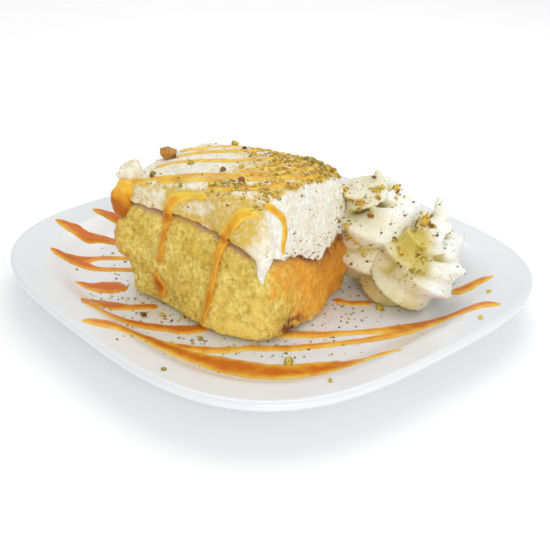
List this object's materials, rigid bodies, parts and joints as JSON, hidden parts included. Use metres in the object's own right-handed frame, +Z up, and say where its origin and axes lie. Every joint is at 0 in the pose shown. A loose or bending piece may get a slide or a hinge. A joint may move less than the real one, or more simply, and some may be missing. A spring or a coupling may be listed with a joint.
{
  "type": "plated slice of milk cake",
  "caption": "Slice of milk-soaked sponge cake under whipped cream with caramel drizzle and chopped pistachio, with piped cream rosettes, on a rounded square plate.",
  "frame": {"origin": "centre of the plate's underside, on the table", "axes": "+X and +Y along the plate's sides, +Z up; the picture looks at the corner between +X and -Y"},
  "size_m": [0.21, 0.21, 0.072],
  "materials": {
    "porcelain": "white gloss glaze",
    "milk_sponge": "moist yellow crumb, stands for sponge cake",
    "whipped_cream": "soft satin, stands for whipped cream",
    "caramel": "glossy, stands for caramel sauce"
  },
  "bodies": {
    "root": {"plate": "porcelain", "sponge": "milk_sponge", "cream_topping": "whipped_cream", "rosette_front": "whipped_cream", "rosette_tall": "whipped_cream", "rosette_back": "whipped_cream", "sauce_far": "caramel", "sauce_left_high": "caramel", "sauce_left_mid": "caramel", "sauce_left_low": "caramel", "sauce_front_left": "caramel", "sauce_pool": "caramel", "sauce_front_right": "caramel", "sauce_right": "caramel", "sauce_corner": "caramel"}
  },
  "joints": []
}
